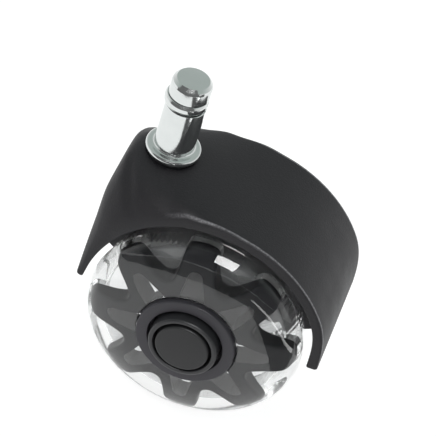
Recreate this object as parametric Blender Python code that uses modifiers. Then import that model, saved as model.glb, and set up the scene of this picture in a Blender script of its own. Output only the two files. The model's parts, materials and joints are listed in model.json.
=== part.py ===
"""Hooded twin-wheel chair caster with a grip-ring stem.

The origin is on the swivel axis, in the plane of the stem's shoulder, where the chair leg's socket rests.
+Z runs up the stem, the wheels trail towards +X and turn about Y. The left wheel is at -Y.
"""
import math

import bmesh
import bpy

MM = 0.001
GAP = 0.3                    # clearance between neighbouring pieces, in millimetres

# Driving dimensions, in millimetres
WHEEL_RADIUS = 29.4          # at the crown of the tread
AXLE_X = 20.7                # trail of the axle behind the swivel axis
AXLE_Z = -41.0
STEM_LENGTH = 22.0           # from the shoulder up to the tip
STEM_RADIUS = 5.3
COLLAR_RADIUS = 7.3
HOOD_HALF_WIDTH = 18.6
HOOD_RADIUS = 36.2           # outer radius about the axle
HOOD_TOP = -2.3              # level of the stem's seat
HOOD_WALL = 2.8
HOOD_REAR_END, HOOD_FRONT_END = 5.0, 175.0   # degrees about the axle
HOOD_CROWN = 1.4             # how far the seat's face falls from the middle to its edges

# Stem and swivel
RING_LOW = 13.95
RING_HIGH = 16.75
RING_RADIUS = 5.7
COLLAR_BASE = -1.9
JOURNAL_RADIUS = 3.6
JOURNAL_END = -28.0
SOCKET_RADIUS = 6.4
SOCKET_END = -31.0
SOCKET_BORE = 4.9
WASHER_THICKNESS = 1.0
CLIP_TOP = -25.1
CLIP_THICKNESS = 0.6

# Wheel, with distances along the axle measured outwards from the caster's middle plane
WHEEL_INNER_FACE = 7.0
TREAD_EDGE = 15.4            # the widest ring of the tread
TYRE_BORE = 24.5
TEETH = 8
TOOTH_PHASE = math.radians(7.5)
TOOTH_RADIUS = 28.0
VALLEY_RADIUS = 17.4
CORE_BACK = 15.4
HUB_RING_RADIUS = 13.4
HUB_RING_FRONT = 23.9
BARREL_RADIUS = 12.0
BARREL_BORE = 9.6
INSERT_RADIUS = 9.3
INSERT_FRONT = 26.15
CAP_RADIUS = 7.5
CAP_FRONT = 26.55
CLIP_SEAT = 19.3             # floor of the insert's recess, under the axle clip

# Axle
AXLE_RADIUS = 3.0
AXLE_HALF_LENGTH = 20.8
AXLE_BOSS_RADIUS = 7.5
AXLE_BOSS_HALF = 4.7
WEB_HALF = 2.6
WEB_LOWER_EDGE = -44.0

# Colour, roughness and metallic value of each material
FINISHES = {
    "black_plastic": ((0.030, 0.030, 0.034), 0.55, 0.0),
    "core_plastic": ((0.055, 0.056, 0.060), 0.50, 0.0),
    "clear_tyre": ((0.86, 0.88, 0.88), 0.08, 0.0),
    "chrome": ((0.80, 0.81, 0.82), 0.10, 1.0),
    "spring_steel": ((0.62, 0.63, 0.64), 0.25, 1.0),
    "nylon": ((0.035, 0.035, 0.038), 0.45, 0.0),
}


def clear_scene():
    for thing in list(bpy.data.objects):
        bpy.data.objects.remove(thing, do_unlink=True)


def new_collection(name):
    collection = bpy.data.collections.new(name)
    bpy.context.scene.collection.children.link(collection)
    return collection


def finish(thing, kind):
    """Give an object a material of its own."""
    colour, roughness, metallic = FINISHES[kind]
    material = bpy.data.materials.new(thing.name + "_material")
    material.use_nodes = True
    shader = material.node_tree.nodes["Principled BSDF"]
    shader.inputs["Base Color"].default_value = (*colour, 1.0)
    shader.inputs["Roughness"].default_value = roughness
    shader.inputs["Metallic"].default_value = metallic
    thing.data.materials.clear()
    thing.data.materials.append(material)


def as_cutter(thing):
    """Turn an object into a hidden Boolean operand."""
    thing.hide_render = True
    thing.display_type = "WIRE"
    PARTS.objects.unlink(thing)
    CUTTERS.objects.link(thing)
    return thing


def turned(name, profile, steps=32):
    """Turn a closed outline of (radius, height) points in millimetres about Z.

    The points run down the outer side and back up the inner side or the axis.
    """
    points = [(radius * MM, 0.0, height * MM) for radius, height in profile]
    on_axis = profile[0][0] == 0.0
    edges = [(i, i + 1) for i in range(len(points) - 1)]
    if not on_axis:
        edges.append((len(points) - 1, 0))
    mesh = bpy.data.meshes.new(name)
    mesh.from_pydata(points, edges, [])
    thing = bpy.data.objects.new(name, mesh)
    PARTS.objects.link(thing)
    screw = thing.modifiers.new("turn", "SCREW")
    screw.axis = "Z"
    screw.steps = steps
    screw.render_steps = steps
    screw.use_merge_vertices = True
    screw.merge_threshold = 0.00001
    return thing


def extruded(name, outline, low, high):
    """Extrude a flat outline, in millimetres, from one height to another as a welded mesh."""
    curve = bpy.data.curves.new(name + "_outline", "CURVE")
    curve.dimensions = "2D"
    curve.fill_mode = "BOTH"
    curve.extrude = 0.5 * (high - low) * MM
    spline = curve.splines.new("POLY")
    spline.points.add(len(outline) - 1)
    for point, (x, y) in zip(spline.points, outline):
        point.co = (x * MM, y * MM, 0.0, 1.0)
    spline.use_cyclic_u = True
    source = bpy.data.objects.new(name + "_outline", curve)
    PARTS.objects.link(source)
    graph = bpy.context.evaluated_depsgraph_get()
    mesh = bpy.data.meshes.new_from_object(source.evaluated_get(graph))
    bpy.data.objects.remove(source, do_unlink=True)
    shape = bmesh.new()
    shape.from_mesh(mesh)
    bmesh.ops.remove_doubles(shape, verts=shape.verts, dist=0.000001)
    bmesh.ops.translate(shape, verts=shape.verts, vec=(0.0, 0.0, 0.5 * (low + high) * MM))
    bmesh.ops.recalc_face_normals(shape, faces=shape.faces)
    shape.to_mesh(mesh)
    shape.free()
    thing = bpy.data.objects.new(name, mesh)
    PARTS.objects.link(thing)
    return thing


def combine(thing, other, operation):
    """Add a Boolean modifier with another object, which becomes a cutter."""
    boolean = thing.modifiers.new(other.name, "BOOLEAN")
    boolean.operation = operation
    boolean.solver = "EXACT"
    boolean.object = as_cutter(other)


def lay_on_axle(thing, side):
    """Point an object's +Z outwards along the axle: side -1 is the left wheel, 1 the right."""
    thing.location = (AXLE_X * MM, 0.0, AXLE_Z * MM)
    thing.rotation_euler = (-side * math.pi / 2, 0.0, 0.0)


def lay_flat_upright(thing):
    """Stand an outline drawn in X and Z upright, with its extrusion along Y."""
    thing.rotation_euler = (math.pi / 2, 0.0, 0.0)


def grow(outline, distance):
    """Offset a closed anticlockwise outline outwards, or inwards for a negative distance."""
    grown = []
    count = len(outline)
    for i, (x, y) in enumerate(outline):
        before = outline[i - 1]
        after = outline[(i + 1) % count]
        normals = []
        for (x0, y0), (x1, y1) in ((before, (x, y)), ((x, y), after)):
            length = math.hypot(x1 - x0, y1 - y0)
            normals.append(((y1 - y0) / length, (x0 - x1) / length))
        (a, b), (c, d) = normals
        share = distance / (1.0 + a * c + b * d)
        grown.append((x + share * (a + c), y + share * (b + d)))
    return grown


def smooth_step(value, low, high):
    share = min(max((value - low) / (high - low), 0.0), 1.0)
    return share * share * (3.0 - 2.0 * share)


# ---------------------------------------------------------------- stem and swivel

def make_stem():
    groove = RING_RADIUS - 1.4
    clip_groove = JOURNAL_RADIUS - 0.7
    profile = [
        (0.0, STEM_LENGTH),
        (STEM_RADIUS - 1.15, STEM_LENGTH),
        (STEM_RADIUS - 0.2, STEM_LENGTH - 0.75),
        (STEM_RADIUS, STEM_LENGTH - 1.1),
        (STEM_RADIUS, RING_HIGH + GAP),
        (groove, RING_HIGH + GAP),
        (groove, RING_LOW - GAP),
        (STEM_RADIUS, RING_LOW - GAP),
        (STEM_RADIUS, 0.7),
        (STEM_RADIUS + 0.15, 0.25),
        (STEM_RADIUS + 0.5, 0.0),
        (COLLAR_RADIUS - 0.7, 0.0),
        (COLLAR_RADIUS - 0.2, -0.25),
        (COLLAR_RADIUS, -0.8),
        (COLLAR_RADIUS - 0.15, -1.4),
        (COLLAR_RADIUS - 0.7, COLLAR_BASE),
        (JOURNAL_RADIUS, COLLAR_BASE),
        (JOURNAL_RADIUS, CLIP_TOP + GAP),
        (clip_groove, CLIP_TOP + GAP),
        (clip_groove, CLIP_TOP - CLIP_THICKNESS - GAP),
        (JOURNAL_RADIUS, CLIP_TOP - CLIP_THICKNESS - GAP),
        (JOURNAL_RADIUS, JOURNAL_END + 0.6),
        (JOURNAL_RADIUS - 0.6, JOURNAL_END),
        (0.0, JOURNAL_END),
    ]
    finish(turned("stem_pin", profile), "chrome")


def make_split_ring(name, profile, slot_width, kind):
    """A ring with a slot through its +X side."""
    ring = turned(name, profile)
    outer = max(radius for radius, _ in profile)
    low = min(height for _, height in profile)
    high = max(height for _, height in profile)
    half = 0.5 * slot_width
    slot = extruded(name + "_slot", [(0.5, -half), (outer + 1, -half), (outer + 1, half), (0.5, half)],
                    low - 1, high + 1)
    combine(ring, slot, "DIFFERENCE")
    finish(ring, kind)


def make_grip_ring():
    inner = RING_RADIUS - 1.1
    profile = [
        (inner, RING_HIGH),
        (RING_RADIUS - 0.45, RING_HIGH),
        (RING_RADIUS - 0.05, RING_HIGH - 0.7),
        (RING_RADIUS, 0.5 * (RING_LOW + RING_HIGH)),
        (RING_RADIUS - 0.05, RING_LOW + 0.7),
        (RING_RADIUS - 0.45, RING_LOW),
        (inner, RING_LOW),
    ]
    make_split_ring("grip_ring", profile, 1.6, "chrome")


def make_stem_clip():
    low = CLIP_TOP - CLIP_THICKNESS
    inner = JOURNAL_RADIUS - 0.4
    outer = SOCKET_BORE - GAP
    make_split_ring("stem_circlip", [(inner, CLIP_TOP), (outer, CLIP_TOP), (outer, low), (inner, low)],
                    2.4, "spring_steel")


def make_thrust_washer():
    high = COLLAR_BASE - GAP
    low = high - WASHER_THICKNESS
    inner = JOURNAL_RADIUS + GAP
    outer = COLLAR_RADIUS - 0.7
    washer = turned("thrust_washer", [(inner, high), (outer, high), (outer, low), (inner, low)])
    finish(washer, "nylon")


def make_stem_bush():
    high = COLLAR_BASE - WASHER_THICKNESS - 3 * GAP - 0.3
    low = CLIP_TOP + GAP
    inner = JOURNAL_RADIUS + GAP
    outer = SOCKET_BORE - GAP
    profile = [(inner, high), (outer - 0.2, high), (outer, high - 0.4), (outer, low), (inner, low)]
    finish(turned("stem_bush", profile), "spring_steel")


# ---------------------------------------------------------------- hood

def hood_middle_radius(angle):
    """Distance from the axle to the hood's outline in the middle plane, at an angle in degrees."""
    direction = math.radians(angle)
    round_part = HOOD_RADIUS - 1.8 * (1.0 - smooth_step(angle, 2.0, 32.0))
    flat_top = (HOOD_TOP - AXLE_Z) / max(math.sin(direction), 0.05)
    radius = round_part + (flat_top - round_part) * smooth_step(angle, 80.0, 110.0)
    if angle > 100.0:
        nose_x = 11.3 + 1.1 * smooth_step(angle, 131.0, 143.0)
        front = (AXLE_X + nose_x) / -math.cos(direction)
        radius = (radius ** -16 + front ** -16) ** (-1 / 16)
    return radius


def hood_arch_radius(angle):
    """Inner radius of the wheel arch, which closes in a little towards both tips."""
    front = 2.0 * smooth_step(angle, 105.0, 172.0)
    rear = 2.0 * (1.0 - smooth_step(angle, 2.0, 32.0))
    return HOOD_RADIUS - HOOD_WALL - front - rear


def hood_crease(angle):
    """Half width of the hood's upper face, which narrows to a rounded nose and flares out below."""
    nose_half = 4.0
    x = AXLE_X + (HOOD_TOP - AXLE_Z) / math.tan(math.radians(max(angle, 91.0)))
    share = min(max((10.1 - x) / 21.3, 0.0), 1.0)
    seat_half = HOOD_HALF_WIDTH * math.sqrt(1.0 - share ** 1.25)
    share = min(max((angle - 127.0) / 46.5, 0.0), 1.0)
    front_half = HOOD_HALF_WIDTH * share ** 0.37
    half = (seat_half ** 4 + front_half ** 4 + nose_half ** 4) ** 0.25
    return min(half, HOOD_HALF_WIDTH)


def hood_edge_radius(angle):
    """Rounding of the crease, soft beside the stem and tight along the rear rim."""
    return 0.7 + 3.2 * smooth_step(angle, 88.0, 112.0)


def hood_section(angle, inset):
    """One closed section of the hood in a plane through the axle, as (radius, y) points.

    An inset of 0 gives the outside; the wall thickness gives the hollow of the nose.
    """
    arch = hood_arch_radius(angle)
    middle = hood_middle_radius(angle) - inset
    crown = HOOD_CROWN * smooth_step(angle, 82.0, 106.0) * (1.0 - smooth_step(angle, 118.0, 140.0))
    rim = HOOD_HALF_WIDTH - inset
    crease = min(max(hood_crease(angle) - 0.9 * inset, 1.2), rim)
    base = arch - 2.0 * inset
    if inset:
        middle = max(middle, base + crown + 0.5)
    top = middle - crown
    rounding = min(hood_edge_radius(angle), 0.6 * (top - base), 0.4 * crease)
    half = []
    for share in (0.0, 0.25, 0.5, 0.75):
        half.append((base + (top - base) * share ** 0.9, crease + (rim - crease) * (1.0 - share ** 2)))
    corner = (top, crease)
    before = half[-1]
    along = min(rounding / max(math.dist(before, corner), 0.01), 0.9)
    start = [corner[i] + along * (before[i] - corner[i]) for i in (0, 1)]
    end = (top + crown * (rounding / crease) * 1.5, crease - rounding)
    for share in (0.0, 0.33, 0.67, 1.0):
        blend = ((1.0 - share) ** 2, 2.0 * share * (1.0 - share), share ** 2)
        half.append(tuple(blend[0] * start[i] + blend[1] * corner[i] + blend[2] * end[i] for i in (0, 1)))
    half.append((middle - crown * 0.16, 0.4 * crease))
    other = [(radius, -y) for radius, y in reversed(half)]
    return half + [(middle, 0.0)] + other


def loft_about_axle(name, angles, inset):
    """Join hood sections at a list of angles into one closed solid."""
    shape = bmesh.new()
    rings = []
    for angle in angles:
        direction = math.radians(angle)
        ring = []
        for radius, y in hood_section(angle, inset):
            x = AXLE_X + radius * math.cos(direction)
            z = AXLE_Z + radius * math.sin(direction)
            ring.append(shape.verts.new((x * MM, y * MM, z * MM)))
        rings.append(ring)
    count = len(rings[0])
    for one, two in zip(rings, rings[1:]):
        for i in range(count):
            j = (i + 1) % count
            shape.faces.new((one[i], one[j], two[j], two[i]))
    shape.faces.new(rings[0])
    shape.faces.new(list(reversed(rings[-1])))
    bmesh.ops.triangulate(shape, faces=shape.faces)
    bmesh.ops.recalc_face_normals(shape, faces=shape.faces)
    mesh = bpy.data.meshes.new(name)
    shape.to_mesh(mesh)
    shape.free()
    thing = bpy.data.objects.new(name, mesh)
    PARTS.objects.link(thing)
    return thing


def spread(low, high, count):
    return [low + (high - low) * i / (count - 1) for i in range(count)]


def make_web():
    """The upright wall between the wheels, drawn inside the hood's outline."""
    outline = []
    for angle in spread(6.5, 171.5, 30):
        direction = math.radians(angle)
        radius = max(hood_middle_radius(angle) - 0.5 * HOOD_WALL, hood_arch_radius(angle) + 0.9)
        outline.append((AXLE_X + radius * math.cos(direction), AXLE_Z + radius * math.sin(direction)))
    outline.append((AXLE_X - 22.0, WEB_LOWER_EDGE))
    outline.append((AXLE_X + 22.0, WEB_LOWER_EDGE))
    web = extruded("hood_web", outline, -WEB_HALF, WEB_HALF)
    lay_flat_upright(web)
    return web


def make_hood():
    hood = loft_about_axle("hood", spread(HOOD_REAR_END, 92.0, 14) + spread(97.0, HOOD_FRONT_END, 22), 0.0)
    combine(hood, loft_about_axle("hood_hollow", spread(104.5, 168.0, 15), HOOD_WALL), "DIFFERENCE")
    combine(hood, make_web(), "UNION")
    seat = HOOD_TOP - 0.2
    socket = turned("hood_socket", [(0.0, seat), (SOCKET_RADIUS + 1.2, seat), (SOCKET_RADIUS + 1.2, -6.0),
                                    (SOCKET_RADIUS, -8.0), (SOCKET_RADIUS, SOCKET_END), (0.0, SOCKET_END)], 32)
    combine(hood, socket, "UNION")
    boss = turned("hood_axle_boss", [(0.0, AXLE_BOSS_HALF), (AXLE_BOSS_RADIUS, AXLE_BOSS_HALF),
                                     (AXLE_BOSS_RADIUS, -AXLE_BOSS_HALF), (0.0, -AXLE_BOSS_HALF)], 32)
    lay_on_axle(boss, -1)
    combine(hood, boss, "UNION")
    washer_floor = COLLAR_BASE - WASHER_THICKNESS - 2 * GAP
    washer_room = COLLAR_RADIUS - 0.7 + GAP
    bore = turned("hood_stem_bore", [(0.0, 1.0), (washer_room, 1.0), (washer_room, washer_floor),
                                     (SOCKET_BORE, washer_floor), (SOCKET_BORE, JOURNAL_END - 0.6),
                                     (0.0, JOURNAL_END - 0.6)], 32)
    combine(hood, bore, "DIFFERENCE")
    axle_room = AXLE_RADIUS + GAP
    far = AXLE_BOSS_HALF + 1.0
    axle_bore = turned("hood_axle_bore", [(0.0, far), (axle_room, far), (axle_room, -far), (0.0, -far)], 32)
    lay_on_axle(axle_bore, -1)
    combine(hood, axle_bore, "DIFFERENCE")
    finish(hood, "black_plastic")


def make_axle():
    end = AXLE_HALF_LENGTH
    axle = turned("axle_pin", [(0.0, end), (AXLE_RADIUS - 0.5, end), (AXLE_RADIUS, end - 0.5),
                               (AXLE_RADIUS, -end + 0.5), (AXLE_RADIUS - 0.5, -end), (0.0, -end)], 32)
    lay_on_axle(axle, -1)
    finish(axle, "spring_steel")


# ---------------------------------------------------------------- wheels

# Front of the core, and the outside of the clear tyre around it, as (radius, distance along the axle)
DOME = [(28.0, 16.2), (25.3, 19.5), (22.0, 20.7), (18.3, 21.5), (13.0, 21.8)]
COVER_FRONT = [(13.8, 22.75), (18.3, 22.5), (22.0, 21.75), (24.6, 20.9), (26.2, 20.15), (27.6, 19.15),
               (28.5, 18.1), (29.1, 16.8)]


def star_outline():
    """Outline of the toothed core: eight tapered teeth with rounded corners and rounded valleys."""
    half_tooth = [(16.9, 5.85), (18.2, 5.3), (21.0, 4.8), (24.5, 4.4), (26.2, 4.0), (27.4, 3.0), (27.9, 1.5)]
    half_pitch = math.pi / TEETH
    valley = (VALLEY_RADIUS * math.cos(half_pitch), -VALLEY_RADIUS * math.sin(half_pitch))
    points = [valley] + [(u, -w) for u, w in half_tooth] + [(TOOTH_RADIUS, 0.0)]
    points += reversed(half_tooth)
    outline = []
    for tooth in range(TEETH):
        middle = TOOTH_PHASE + tooth * 2 * math.pi / TEETH
        for u, w in points:
            outline.append((u * math.cos(middle) - w * math.sin(middle),
                            u * math.sin(middle) + w * math.cos(middle)))
    return outline


def dome_body(name, offset):
    """A domed disc that bounds the front of the core's teeth, moved outwards by the offset."""
    profile = [(radius + 0.7 * offset, height + 0.7 * offset) for radius, height in DOME[:2]]
    profile += [(radius, height + offset) for radius, height in DOME[2:]]
    back = CORE_BACK - 3.0
    profile.append((0.0, profile[-1][1]))
    profile.reverse()
    outer = profile[-1][0]
    return turned(name, profile + [(outer, back), (0.0, back)])


def make_windows(name):
    """The eight wedge-shaped openings round the hub, one under each tooth."""
    wedge = [(13.7, -3.3), (16.7, -2.7), (20.8, -1.7), (21.7, -0.9), (22.0, 0.0),
             (21.7, 0.9), (20.8, 1.7), (16.7, 2.7), (13.7, 3.3)]
    shape = bmesh.new()
    for tooth in range(TEETH):
        middle = TOOTH_PHASE + tooth * 2 * math.pi / TEETH
        low = []
        high = []
        for u, w in wedge:
            x = (u * math.cos(middle) - w * math.sin(middle)) * MM
            y = (u * math.sin(middle) + w * math.cos(middle)) * MM
            low.append(shape.verts.new((x, y, (CORE_BACK - 1.0) * MM)))
            high.append(shape.verts.new((x, y, (HUB_RING_FRONT + 1.0) * MM)))
        shape.faces.new(list(reversed(low)))
        shape.faces.new(high)
        for i in range(len(wedge)):
            j = (i + 1) % len(wedge)
            shape.faces.new((low[i], low[j], high[j], high[i]))
    bmesh.ops.recalc_face_normals(shape, faces=shape.faces)
    mesh = bpy.data.meshes.new(name)
    shape.to_mesh(mesh)
    shape.free()
    thing = bpy.data.objects.new(name, mesh)
    PARTS.objects.link(thing)
    return thing


def make_core(prefix, side):
    name = prefix + "_wheel_core"
    core = extruded(name, star_outline(), CORE_BACK, HUB_RING_FRONT)
    barrel = turned(name + "_barrel", [
        (BARREL_BORE + 0.6, HUB_RING_FRONT),
        (HUB_RING_RADIUS - 0.5, HUB_RING_FRONT),
        (HUB_RING_RADIUS, HUB_RING_FRONT - 0.4),
        (HUB_RING_RADIUS, 20.6),
        (BARREL_RADIUS, 19.2),
        (BARREL_RADIUS, WHEEL_INNER_FACE + 0.8),
        (BARREL_BORE, WHEEL_INNER_FACE + 0.8),
        (BARREL_BORE, 20.8),
        (BARREL_BORE + 0.6, 21.2)])
    hole = turned(name + "_hole", [(0.0, 30.0), (BARREL_BORE + 1.2, 30.0), (BARREL_BORE + 1.2, 5.0), (0.0, 5.0)])
    dome = dome_body(name + "_dome", 0.0)
    windows = make_windows(name + "_windows")
    for piece in (core, barrel, hole, dome, windows):
        lay_on_axle(piece, side)
    combine(core, dome, "INTERSECT")
    combine(core, hole, "DIFFERENCE")
    combine(core, barrel, "UNION")
    combine(core, windows, "DIFFERENCE")
    finish(core, "core_plastic")


def make_tyre(prefix, side):
    """The clear tyre, whose domed front covers the toothed core like a lens."""
    name = prefix + "_tyre"
    inner = WHEEL_INNER_FACE
    back = CORE_BACK + 0.2
    centre = COVER_FRONT[0][0]
    tread = [
        (WHEEL_RADIUS, TREAD_EDGE),
        (WHEEL_RADIUS - 0.4, TREAD_EDGE - 2.5),
        (WHEEL_RADIUS - 1.0, TREAD_EDGE - 5.0),
        (WHEEL_RADIUS - 1.8, TREAD_EDGE - 7.0),
        (WHEEL_RADIUS - 2.4, inner + 0.4),
        (WHEEL_RADIUS - 3.1, inner)]
    bore = [
        (TYRE_BORE + 0.5, inner),
        (TYRE_BORE, inner + 0.5),
        (TYRE_BORE, back - 0.8),
        (TYRE_BORE - 0.8, back),
        (centre, back)]
    tyre = turned(name, COVER_FRONT + tread + bore, 48)
    star = extruded(name + "_star", grow(star_outline(), GAP), CORE_BACK - 2.0, 30.0)
    room = dome_body(name + "_room", GAP)
    for piece in (tyre, star, room):
        lay_on_axle(piece, side)
    combine(star, room, "INTERSECT")
    combine(tyre, star, "DIFFERENCE")
    finish(tyre, "clear_tyre")


def make_insert(prefix, side):
    """The bearing carrier pressed in the core, whose raised front holds the cap."""
    recess = CAP_RADIUS + 0.45
    insert = turned(prefix + "_hub_insert", [
        (recess, INSERT_FRONT),
        (INSERT_RADIUS - 0.7, INSERT_FRONT),
        (INSERT_RADIUS, INSERT_FRONT - 0.6),
        (INSERT_RADIUS, WHEEL_INNER_FACE + 1.0),
        (AXLE_RADIUS + 2.0, WHEEL_INNER_FACE + 1.0),
        (AXLE_RADIUS + 2.0, CLIP_SEAT),
        (recess, CLIP_SEAT)])
    lay_on_axle(insert, side)
    finish(insert, "core_plastic")


def make_cap(prefix, side):
    """The round cap over the axle's end, with a short skirt."""
    skirt = CLIP_SEAT + 2.6
    cap = turned(prefix + "_centre_cap", [
        (0.0, CAP_FRONT),
        (CAP_RADIUS - 1.0, CAP_FRONT - 0.05),
        (CAP_RADIUS - 0.3, CAP_FRONT - 0.3),
        (CAP_RADIUS, CAP_FRONT - 0.9),
        (CAP_RADIUS, skirt),
        (CAP_RADIUS - 1.2, skirt),
        (CAP_RADIUS - 1.2, CAP_FRONT - 2.0),
        (0.0, CAP_FRONT - 2.0)])
    lay_on_axle(cap, side)
    finish(cap, "core_plastic")


def make_ring_on_axle(name, side, inner, outer, low, high, kind):
    ring = turned(name, [(inner, high), (outer, high), (outer, low), (inner, low)], 24)
    lay_on_axle(ring, side)
    finish(ring, kind)


def make_wheel(prefix, side):
    make_tyre(prefix, side)
    make_core(prefix, side)
    make_insert(prefix, side)
    make_cap(prefix, side)
    inner = AXLE_RADIUS + GAP
    make_ring_on_axle(prefix + "_hub_bush", side, inner, AXLE_RADIUS + 1.7,
                      WHEEL_INNER_FACE + 0.3, CLIP_SEAT - GAP, "nylon")
    make_ring_on_axle(prefix + "_axle_clip", side, inner, CAP_RADIUS - 1.5,
                      CLIP_SEAT + GAP, CLIP_SEAT + 1.1, "spring_steel")
    make_ring_on_axle(prefix + "_spacer_washer", side, inner, AXLE_BOSS_RADIUS - 0.5,
                      AXLE_BOSS_HALF + GAP, WHEEL_INNER_FACE - 0.4, "nylon")


def main():
    make_stem()
    make_grip_ring()
    make_stem_clip()
    make_thrust_washer()
    make_stem_bush()
    make_hood()
    make_axle()
    make_wheel("left", -1)
    make_wheel("right", 1)


clear_scene()
PARTS = new_collection("chair_caster")
CUTTERS = new_collection("cutters")
main()
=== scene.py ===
"""Looks of a hooded twin-wheel chair caster with clear tyres, built around its CAD frame."""

import json
import math

import bmesh
import bpy
from mathutils import Matrix, Vector


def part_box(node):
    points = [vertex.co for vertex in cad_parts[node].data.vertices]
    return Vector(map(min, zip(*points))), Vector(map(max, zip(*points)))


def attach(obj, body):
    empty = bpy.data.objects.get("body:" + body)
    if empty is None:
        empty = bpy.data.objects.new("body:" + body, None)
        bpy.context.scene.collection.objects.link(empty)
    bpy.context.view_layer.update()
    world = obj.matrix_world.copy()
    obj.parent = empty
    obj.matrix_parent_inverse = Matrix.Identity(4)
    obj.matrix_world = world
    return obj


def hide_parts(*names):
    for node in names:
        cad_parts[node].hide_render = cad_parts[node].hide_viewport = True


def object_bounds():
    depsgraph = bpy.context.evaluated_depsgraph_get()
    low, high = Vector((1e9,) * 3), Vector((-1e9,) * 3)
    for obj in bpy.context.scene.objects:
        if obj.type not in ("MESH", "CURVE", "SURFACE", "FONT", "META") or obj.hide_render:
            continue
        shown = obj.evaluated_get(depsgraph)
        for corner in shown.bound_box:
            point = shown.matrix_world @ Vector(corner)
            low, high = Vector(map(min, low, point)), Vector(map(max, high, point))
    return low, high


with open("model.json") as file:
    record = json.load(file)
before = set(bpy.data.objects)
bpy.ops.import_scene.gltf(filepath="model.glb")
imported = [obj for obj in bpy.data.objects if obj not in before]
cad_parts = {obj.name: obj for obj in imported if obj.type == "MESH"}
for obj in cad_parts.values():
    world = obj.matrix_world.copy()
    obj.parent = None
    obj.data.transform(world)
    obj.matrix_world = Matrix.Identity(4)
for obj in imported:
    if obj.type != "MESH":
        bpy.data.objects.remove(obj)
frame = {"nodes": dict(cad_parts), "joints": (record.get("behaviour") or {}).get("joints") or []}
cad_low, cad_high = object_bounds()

MM = 0.001


def box_mm(node):
    low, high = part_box(node)
    return low / MM, high / MM


# ---------------------------------------------------------------- measures in millimetres

SPIN = next(joint for joint in frame["joints"] if joint["name"] == "left_wheel_spin")
AXLE_X, _, AXLE_Z = (value / MM for value in SPIN["pos_m"])

# Stem
STEM_LOW, STEM_HIGH = box_mm("stem_pin")
STEM_LENGTH = STEM_HIGH.z
JOURNAL_END = STEM_LOW.z
COLLAR_RADIUS = STEM_HIGH.y
COLLAR_BASE = -1.9
STEM_RADIUS = 5.3
JOURNAL_RADIUS = 3.6
JOURNAL_CHAMFER = 0.6
RING_LOW, RING_HIGH = box_mm("grip_ring")
RING_RADIUS = RING_HIGH.y
RING_SLOT_HALF = 0.8
RING_SLACK = 0.30               # the loose ring leans to one side of its groove
CLIP_LOW, CLIP_HIGH = box_mm("stem_circlip")
GAP = 0.3

# Hood
HOOD_HIGH = box_mm("hood")[1]
HOOD_TOP = HOOD_HIGH.z
HOOD_HALF_WIDTH = HOOD_HIGH.y
HOOD_RADIUS = 36.2
HOOD_WALL = 2.8
HOOD_CROWN = 2.3
HOOD_REAR_END, HOOD_FRONT_END = 5.0, 175.0     # degrees about the axle
TIP_ROUNDING = 0.8
RIM_ROUNDING = 0.45
REAR_TUCK = 1.8                 # how far the outline draws in towards the rear end
ARCH_CLOSING = 2.0              # how far the wheel arch closes in towards both ends
NOSE_REACH, NOSE_SWELL = 11.3, 1.1             # front face ahead of the swivel axis, and its bulge lower down
NOSE_SHARPNESS = 16             # the higher, the tighter the bend from the top into the front face
NOSE_HALF_WIDTH = 4.0
SEAT_TAPER_X, SEAT_TAPER_LENGTH = 10.1, 21.3   # the top narrows forwards from this x over this length
SEAT_TAPER_POWER, FLARE_POWER = 1.25, 0.37     # shapes of the narrowing top and of the flaring front
REAR_CREASE, NOSE_CREASE = 0.7, 3.9            # rounding of the crease along the rim and beside the stem

# Pairs of angles about the axle between which something in the hood's shape changes
REAR_CHANGE = (2.0, 32.0)
TOP_CHANGE = (80.0, 110.0)
NOSE_CHANGE = (131.0, 143.0)
ARCH_CHANGE = (105.0, 172.0)
CROWN_START = (84.0, 116.0)
CROWN_END = (118.0, 140.0)
CREASE_CHANGE = (88.0, 112.0)
FLARE = (127.0, 173.5)
HOLLOW = (104.5, 168.0)
WEB = (6.5, 171.5)

WEB_HALF = 2.6
WEB_LOWER_EDGE = -44.0
WEB_FOOT_HALF = 22.0            # half length of the wall's lower edge
SEAT_ROOM = COLLAR_RADIUS - 0.4  # radius of the recess under the collar
SEAT_BOSS_LOW, SOCKET_HIGH = -6.0, -8.0        # the boss under the seat narrows to the socket here
SOCKET_RADIUS = 6.4
SOCKET_BORE = 4.9
SOCKET_END = JOURNAL_END + 0.6
AXLE_BOSS_RADIUS = 7.5
AXLE_BOSS_HALF = 4.7
AXLE_ROOM = 3.3

# Wheel: heights run outwards along the axle from the middle plane
TYRE_LOW, TYRE_HIGH = box_mm("left_tyre")
CORE_LOW = box_mm("left_wheel_core")[0]
WHEEL_RADIUS = 0.5 * (TYRE_HIGH.x - TYRE_LOW.x)
WHEEL_INNER_FACE = -TYRE_HIGH.y
HUB_RING_FRONT = -CORE_LOW.y
INSERT_FRONT = -box_mm("left_hub_insert")[0].y
CAP_FRONT = -box_mm("left_centre_cap")[0].y
TREAD_EDGE = 15.4
TYRE_BORE = 24.5
TEETH = 8
TOOTH_PHASE = math.radians(7.5)
VALLEY_RADIUS = 18.3
TOOTH_RADIUS = 27.4
CORE_BACK = 15.4
HUB_RING_RADIUS = 13.4
BARREL_RADIUS = 12.0
BARREL_BORE = 9.6
INSERT_RADIUS = 9.3
CAP_RADIUS = 7.5
CLIP_SEAT = 19.3
TOOTH_ROUNDING = 0.9
COVER_PRESS = 0.02             # the core sits pressed in the clear cover, with no air between
RIBS = 96
RIB_DEPTH = 0.08

# Domed front of the core and of the clear cover over it, as (radius, height)
CORE_DOME = [(28.2, 15.9), (27.2, 17.7), (25.3, 19.5), (22.0, 20.7), (18.3, 21.5), (13.0, 21.8)]
COVER_FRONT = [(13.8, 22.75), (18.3, 22.5), (22.0, 21.75), (24.6, 20.9), (26.2, 20.15), (27.6, 19.15),
               (28.5, 18.1), (29.1, 16.8)]


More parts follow.
